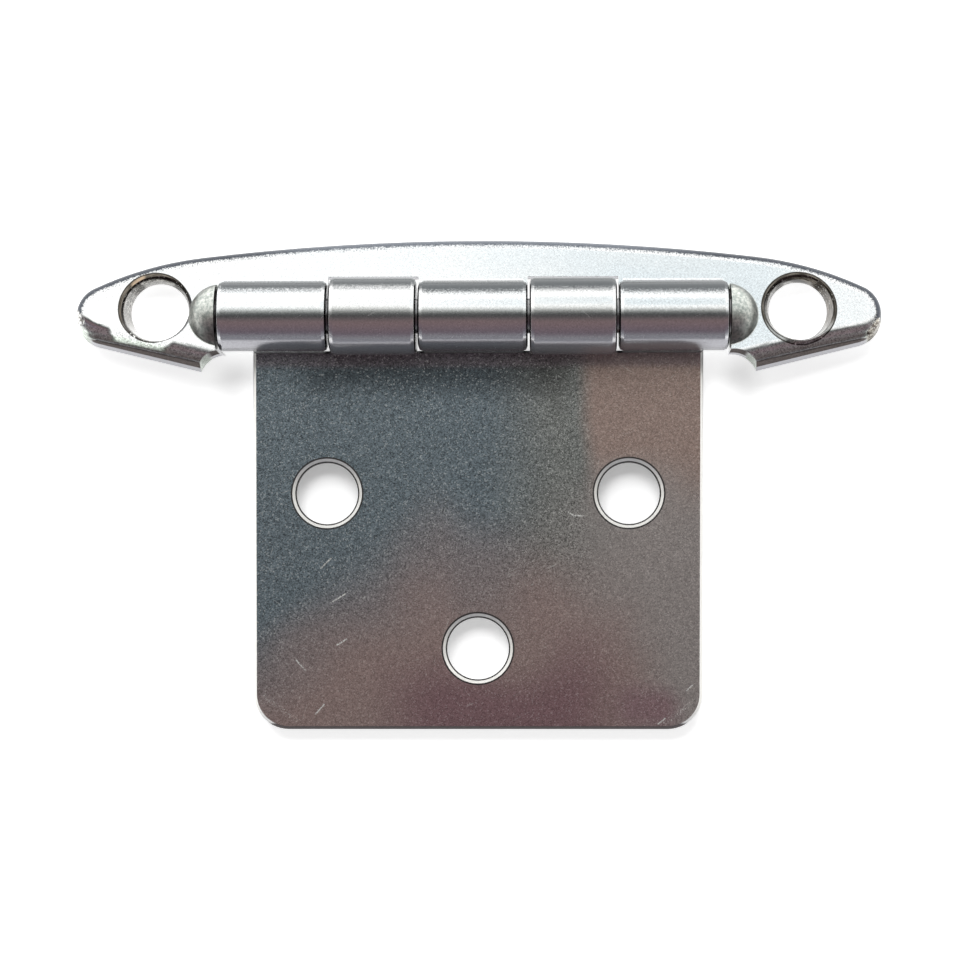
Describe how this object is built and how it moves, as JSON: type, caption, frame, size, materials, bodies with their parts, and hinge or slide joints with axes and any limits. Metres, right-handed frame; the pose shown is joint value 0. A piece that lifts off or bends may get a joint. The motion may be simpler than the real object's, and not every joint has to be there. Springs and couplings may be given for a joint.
{
  "type": "self-closing cabinet hinge",
  "caption": "Face-mounted self-closing cabinet hinge: canoe-shaped frame wing with a knuckled barrel, domed ends and a flat door plate, all in bright plated steel.",
  "frame": {"origin": "midway between the two screw holes of the frame wing, in the plane of its back", "axes": "+X along the barrel, +Y from the barrel towards the frame wing's outer edge, +Z out of the front; the hinge lies flat on its back, closed"},
  "size_m": [0.07, 0.0424, 0.0066],
  "materials": {
    "plated_wing": "bright plated steel, softly polished",
    "plated_leaf": "bright plated steel sheet, fine rolled grain and light scratches",
    "pin_steel": "drawn steel",
    "spring_steel": "tempered spring steel"
  },
  "bodies": {
    "frame_side": {"frame_wing": "plated_wing", "closing_spring": "spring_steel"},
    "door_side": {"door_leaf": "plated_leaf", "hinge_pin": "pin_steel"}
  },
  "joints": [
    {"name": "door_swing", "type": "hinge", "parent": "frame_side", "child": "door_side", "pos_m": [0, -0.0007, 0.0033], "axis": [-1, 0, 0], "range_deg": [0, 180], "stiffness_Nm_per_rad": 0.02, "springref_deg": -28.65, "deforming": ["closing_spring"]}
  ]
}
